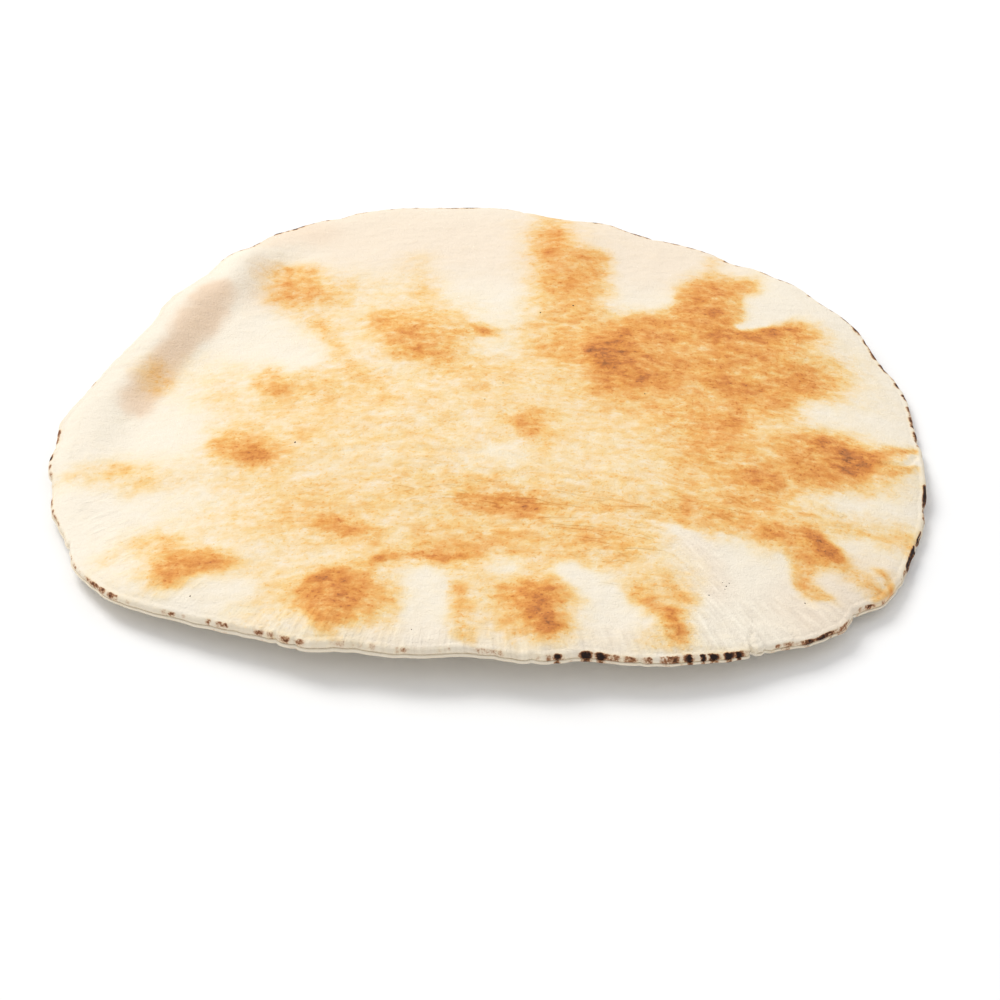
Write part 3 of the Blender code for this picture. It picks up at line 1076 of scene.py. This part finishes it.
# a duller, pinkish brown; on the lip's slope, the ridge and the near wedge it is painted shade
SHADED_DUN_COLOUR = (0.925, 0.79, 0.70, 1.0)
BROWN = (0.50, 0.35, 0.20, 1.0)
# the colour of the painted shade in the creases and along the gathers
SHADE = (0.60, 0.54, 0.52, 1.0)
GOLD = (1.00, 0.96, 0.60, 1.0)
CHAR_COLOURS = (
    (0.16, (0.60, 0.33, 0.17)), (0.34, (0.33, 0.14, 0.06)),
    (0.52, (0.10, 0.04, 0.02)), (0.75, (0.02, 0.01, 0.008)),
)
CRUMB = (0.86, 0.76, 0.60, 1.0)
CRUMB_SHARE = 0.7  # how much of the crumb's colour the bare side has
GATHERS_ROUND = 520.0  # how finely the gathers are drawn round the rim,
GATHERS_OUT = 90.0  # and outward, to each metre
RELIEF = 0.6 * MM  # the height of the finest relief


def crust_material():
    material, start = begin_material("baked crust")
    place = start.node("ShaderNodeTexCoord", {}, {}, "Object")

    def painted(name):
        """The number that was painted under a name."""
        return start.node("ShaderNodeAttribute", {"attribute_name": name}, {}, "Fac")

    def clouds(size, detail, along=1.0, tilt=0.0):
        """Noise around 0 with features of this size, drawn out along x and turned."""
        inputs = {
            "Vector": place, "Scale": (size * along, size, size),
            "Rotation": (0.0, 0.0, radians(tilt)),
        }
        spread = start.node("ShaderNodeMapping", {"vector_type": "TEXTURE"}, inputs)
        inputs = {"Vector": spread, "Scale": 1.0, "Detail": detail, "Roughness": 0.6}
        return start.node("ShaderNodeTexNoise", {}, inputs, "Fac") - 0.5

    def hairlines(pattern, width):
        """Thin lines, where a pattern passes through 0."""
        return 1.0 - pattern.maths("ABSOLUTE", pattern, 0.0).between(0.0, width)

    toast, char, side = painted("toast"), painted("char"), painted("side")
    dun, creased, gathered = painted("dun"), painted("creased"), painted("gathered")
    blotches = clouds(9.0 * MM, 3.0, along=1.3)
    mottle = clouds(3.0 * MM, 2.0, along=1.2)
    streaks = clouds(2.0 * MM, 2.0, along=3.6, tilt=-8.0)
    grain = clouds(0.7 * MM, 3.0)
    dots = clouds(1.1 * MM, 0.0).between(0.16, 0.26)
    # fine fold lines in the creased patches: they darken the colour, partly as brown creases and partly
    # as painted shade, and they dent the relief
    folds = creased * hairlines(clouds(5.0 * MM, 1.0, along=4.0, tilt=-9.0), 0.030)
    folds = folds * blotches.between(-0.06, 0.06)
    inputs = {"Vector": place}
    turn = start.node("ShaderNodeTexGradient", {"gradient_type": "RADIAL"}, inputs, "Fac")
    out = start.node("ShaderNodeVectorMath", {"operation": "LENGTH"}, {0: place}, "Value")
    inputs = {"X": GATHERS_ROUND * turn, "Y": GATHERS_OUT * out}
    ribs = start.node("ShaderNodeCombineXYZ", {}, inputs)
    inputs = {"Vector": ribs, "Scale": 1.0, "Detail": 1.0}
    gathers = gathered * (start.node("ShaderNodeTexNoise", {}, inputs, "Fac") - 0.5)
    amount = 0.04 + toast * (1.0 - 0.5 * toast)
    uneven = 1.3 * blotches + 1.6 * mottle + 0.4 * toast * grain
    uneven = uneven + (0.05 + 0.55 * toast + 0.5 * creased) * streaks
    level = toast + amount * uneven + toast * (1.2 - toast) * (0.40 * dots + 0.45 * folds)
    skin = level.node("ShaderNodeValToRGB", {"stops": TOAST_COLOURS}, {"Fac": level})
    # dun patches: a duller tint, and painted shade on the lip's slope, the ridge's flank and the near
    # wedge's groove
    skin = dun.times(skin, SHADED_DUN_COLOUR)
    skin = (CRUMB_SHARE * side).mix(skin, CRUMB)
    skin = ((0.06 + 1.3 * toast * toast) * (0.2 * streaks + 0.9 * grain)).times(skin, BROWN)
    # painted shade and painted light: the gathers' ribs are darkened and lightened, and the fold lines
    # darkened, as the lamp would shade them
    skin = (0.80 * gathers + 0.12 * folds).times(skin, SHADE)
    skin = (3.6 * toast * (1.2 - toast) * clouds(7.0 * MM, 2.0)).times(skin, GOLD)
    burn = char * (1.0 + 2.4 * clouds(1.3 * MM, 3.0) + 1.6 * grain)
    black = burn.node("ShaderNodeValToRGB", {"stops": CHAR_COLOURS}, {"Fac": burn})
    colour = burn.between(0.10, 0.36).mix(skin, black)

    pores = clouds(0.45 * MM, 2.0)
    relief = 0.8 * mottle + 0.5 * streaks + 0.6 * grain + 0.4 * pores
    relief = relief - 0.35 * folds - 1.4 * gathers
    inputs = {"Height": relief, "Strength": 0.8, "Distance": RELIEF}
    normal = relief.node("ShaderNodeBump", {}, inputs)
    return end_material(material, {
        "Base Color": colour, "Roughness": 0.92 - 0.10 * toast, "Normal": normal,
        "Specular IOR Level": 0.25,
    })


def dress(piece, material):
    """Give a piece its material, let it ride on the root body, and hide the frame's node that it stands
    in for.
    """
    piece.data.materials.clear()
    piece.data.materials.append(material)
    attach(piece, "root")
    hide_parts("pita")


crust = crust_material()
dress(top, crust)
dress(bottom, crust)

# %% [markdown]
# ## Burnt specks
#
# A few flecks of burnt flour lie on the crust, none as big as a sesame seed.
# They are flattened balls, pressed half into the skin.

# %% Specks
# place in mm, width in mm
SPECKS = (
    (-62, -31, 0.9), (29.5, 57.5, 0.9), (18, 52, 0.7), (-89, -108, 0.7), (72, -105.5, 0.6),
    (73, -104, 0.4), (71, -104, 0.4), (71.5, -107, 0.5), (66.5, -110.5, 0.6), (95.5, -109.5, 0.6),
    (5, 3, 0.5), (52, 0, 0.6), (-1, -8, 0.5), (-22, -128, 0.5),
)


def speck_material():
    material, start = begin_material("burnt flour")
    place = start.node("ShaderNodeTexCoord", {}, {}, "Object")
    grain = start.node("ShaderNodeTexNoise", {}, {"Vector": place, "Scale": 3000.0}, "Fac")
    colours = ((0.35, (0.030, 0.016, 0.010)), (0.65, (0.090, 0.045, 0.025)))
    colour = start.node("ShaderNodeValToRGB", {"stops": colours}, {"Fac": grain})
    return end_material(material, {"Base Color": colour, "Roughness": 0.8})


def make_specks():
    bpy.ops.object.select_all(action="DESELECT")
    made = []
    for x, y, width in SPECKS:
        spot = (x * MM, y * MM, height_at(top, x * MM, y * MM))
        bpy.ops.mesh.primitive_ico_sphere_add(
            subdivisions=1, radius=width * MM / 2.0, location=spot, scale=(1.0, 0.75, 0.4),
            rotation=(0.0, 0.0, x + y),
        )
        made.append(bpy.context.object)
    for speck in made:
        speck.select_set(True)
    bpy.ops.object.join()
    specks = bpy.context.object
    specks.name = specks.data.name = "burnt_specks"
    bpy.ops.object.transform_apply(location=True, rotation=True, scale=True)
    return specks


specks = make_specks()
dress(specks, speck_material())
print(len(SPECKS), "specks,", len(specks.data.polygons), "faces")

# %% Floor finish
table, _ = begin_material("white table")
end_material(table, {
    "Base Color": (0.97, 0.97, 0.97, 1.0), "Roughness": 0.9, "Specular IOR Level": 0.1,
})
floor.data.materials.append(table)

# %% [markdown]
# ## Last steps
#
# The guide has done its work and goes.

# %% Finish
bpy.data.objects.remove(guide)
bpy.context.view_layer.update()
